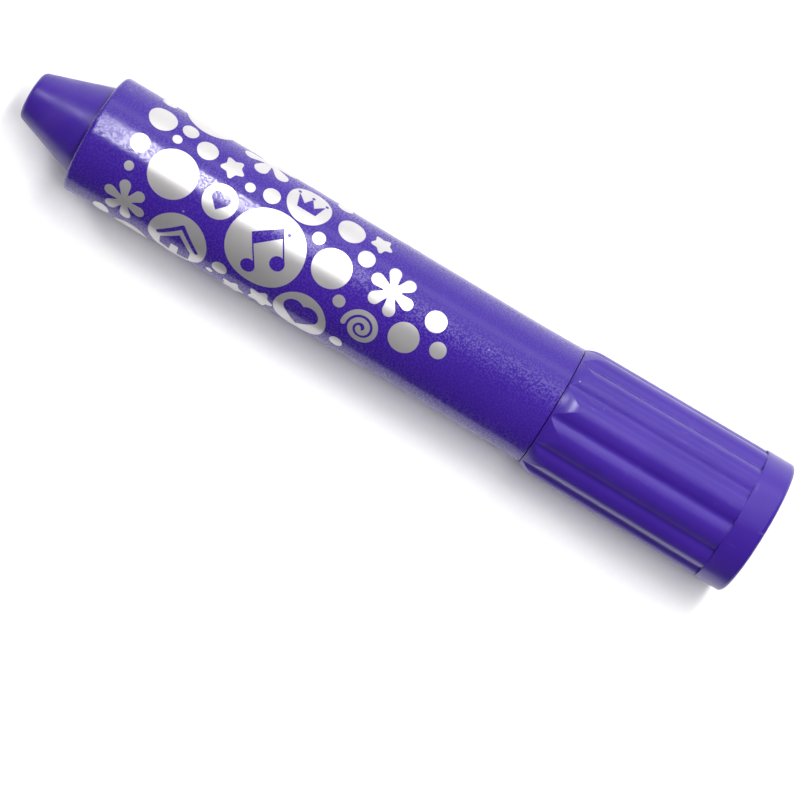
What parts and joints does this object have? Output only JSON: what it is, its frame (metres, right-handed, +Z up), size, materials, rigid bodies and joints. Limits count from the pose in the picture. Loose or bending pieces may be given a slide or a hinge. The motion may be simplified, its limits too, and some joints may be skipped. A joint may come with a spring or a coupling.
{
  "type": "twist-up crayon",
  "caption": "Chunky twist-up crayon: a wax stick in a smooth barrel, wound in and out by a fluted knob at the rear.",
  "frame": {"origin": "centre of the bounding box's underside, on the surface that the crayon lies on", "axes": "+X along the crayon towards the knob, -X towards the wax tip, +Z up, -Y towards the viewer"},
  "size_m": [0.1172, 0.0202, 0.0203],
  "materials": {
    "wax": "pigmented wax, soft sheen",
    "barrel_plastic": "violet moulded plastic with a silver foil print",
    "knob_plastic": "violet moulded plastic, satin gloss",
    "inner_plastic": "natural white moulded plastic",
    "foil": "silver hot-stamped foil"
  },
  "bodies": {
    "barrel": {"barrel": "barrel_plastic"},
    "knob": {"twist_knob": "knob_plastic", "spindle": "inner_plastic"},
    "stick": {"crayon_stick": "wax", "carrier": "inner_plastic"}
  },
  "joints": [
    {"name": "knob_twist", "type": "hinge", "parent": "barrel", "child": "knob", "pos_m": [0.02525, 0, 0.01013], "axis": [-1, 0, 0], "range_deg": [-990, 2610]},
    {"name": "stick_slide", "type": "slide", "parent": "barrel", "child": "stick", "axis": [-1, 0, 0], "range_m": [-0.011, 0.029]}
  ],
  "couplings": [
    {"joint": "stick_slide", "follows": "knob_twist", "m_per_rad": 0.00063662}
  ]
}
